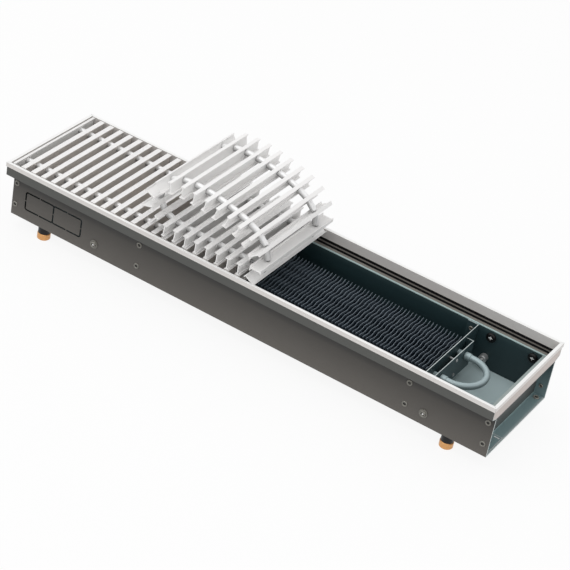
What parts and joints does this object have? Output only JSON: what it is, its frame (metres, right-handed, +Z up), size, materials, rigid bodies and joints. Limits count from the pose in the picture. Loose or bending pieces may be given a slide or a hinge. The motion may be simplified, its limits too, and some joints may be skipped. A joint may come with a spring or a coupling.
{
  "type": "trench convector heater",
  "caption": "Floor trench heater: a framed steel trough with a finned water exchanger, levelling feet and a roll-up slat grille that is partly rolled back",
  "frame": {"origin": "under the middle of the frame, at the level of the feet's pads", "axes": "+X along the trench from the rolled-up side's covered end to the uncovered end, +Y across it towards the back, +Z up"},
  "size_m": [0.8, 0.2, 0.2005],
  "materials": {
    "casing_paint": "satin warm dark grey",
    "inner_paint": "satin dark teal grey",
    "anodised_aluminium": "satin anodised",
    "plain_aluminium": "drawn",
    "black_rubber": "matte",
    "black_sleeve": "matte black",
    "fin_paint": "thin dark paint",
    "painted_tube": "satin silver grey",
    "brass_fitting": "machined",
    "foot_brass": "polished, reddish",
    "rivet_metal": "dull",
    "spring_steel": "wire",
    "zinc_steel": "zinc plated"
  },
  "bodies": {
    "casing": {"trough_shell": "casing_paint", "end_plate_left": "inner_paint", "end_plate_right": "inner_paint", "frame_front": "anodised_aluminium", "frame_back": "anodised_aluminium", "frame_left": "anodised_aluminium", "frame_right": "anodised_aluminium", "corner_keys": "plain_aluminium", "rubber_strips": "black_rubber", "fin_pack": "fin_paint", "exchanger_tubes": "painted_tube", "return_bend": "painted_tube", "cheek_plate_left": "inner_paint", "cheek_plate_right": "inner_paint", "support_bracket_left": "inner_paint", "support_bracket_right": "inner_paint", "cheek_screws": "zinc_steel", "connection_fittings": "brass_fitting", "air_vent_body": "brass_fitting", "blind_rivets": "rivet_metal", "side_bolts": "zinc_steel", "side_washers": "zinc_steel", "rivet_nuts": "zinc_steel", "cable_grommets": "black_rubber", "foot_sleeves": "black_sleeve"},
    "grille": {"grille_end_profile": "anodised_aluminium", "flat_slats": "anodised_aluminium", "flat_bushes": "plain_aluminium", "flat_springs": "spring_steel"},
    "fold_1": {"fold_slat_1": "anodised_aluminium", "fold_bushes_1": "plain_aluminium", "fold_springs_1": "spring_steel"},
    "fold_2": {"fold_slat_2": "anodised_aluminium", "fold_bushes_2": "plain_aluminium", "fold_springs_2": "spring_steel"},
    "fold_3": {"fold_slat_3": "anodised_aluminium", "fold_bushes_3": "plain_aluminium", "fold_springs_3": "spring_steel"},
    "crown": {"crown_slats": "anodised_aluminium", "crown_bushes": "plain_aluminium", "crown_springs": "spring_steel"},
    "inner_layer": {"inner_slats": "anodised_aluminium", "inner_bushes": "plain_aluminium", "inner_springs": "spring_steel"},
    "vent_screw": {"air_vent_screw": "zinc_steel"},
    "front_left_foot": {"foot_front_left": "foot_brass"},
    "front_right_foot": {"foot_front_right": "foot_brass"},
    "back_left_foot": {"foot_back_left": "foot_brass"},
    "back_right_foot": {"foot_back_right": "foot_brass"}
  },
  "joints": [
    {"name": "grille_lift", "type": "slide", "parent": "casing", "child": "grille", "axis": [0, 0, 1], "range_m": [0, 0.06]},
    {"name": "fold_1_turn", "type": "hinge", "parent": "grille", "child": "fold_1", "pos_m": [-0.007, 0, 0.1], "axis": [0, 1, 0], "range_deg": [0, 5]},
    {"name": "fold_2_turn", "type": "hinge", "parent": "fold_1", "child": "fold_2", "pos_m": [0.013, 0, 0.11041], "axis": [0, 1, 0], "range_deg": [0, 17]},
    {"name": "fold_3_turn", "type": "hinge", "parent": "fold_2", "child": "fold_3", "pos_m": [0.01917, 0, 0.12998], "axis": [0, 1, 0], "range_deg": [0, 16]},
    {"name": "crown_turn", "type": "hinge", "parent": "fold_3", "child": "crown", "pos_m": [0.0131, 0, 0.15049], "axis": [0, 1, 0], "range_deg": [0, 12]},
    {"name": "inner_layer_lift", "type": "hinge", "parent": "crown", "child": "inner_layer", "pos_m": [-0.15102, 0, 0.12794], "axis": [0, 1, 0], "range_deg": [-8, 0]},
    {"name": "vent_screw_turn", "type": "hinge", "parent": "casing", "child": "vent_screw", "pos_m": [-0.21, 0.0348, 0.08], "axis": [0, 0, 1], "range_deg": [0, 270]},
    {"name": "front_left_foot_level", "type": "slide", "parent": "casing", "child": "front_left_foot", "axis": [0, 0, 1], "range_m": [-0.008, 0]},
    {"name": "front_right_foot_level", "type": "slide", "parent": "casing", "child": "front_right_foot", "axis": [0, 0, 1], "range_m": [-0.008, 0]},
    {"name": "back_left_foot_level", "type": "slide", "parent": "casing", "child": "back_left_foot", "axis": [0, 0, 1], "range_m": [-0.008, 0]},
    {"name": "back_right_foot_level", "type": "slide", "parent": "casing", "child": "back_right_foot", "axis": [0, 0, 1], "range_m": [-0.008, 0]}
  ]
}
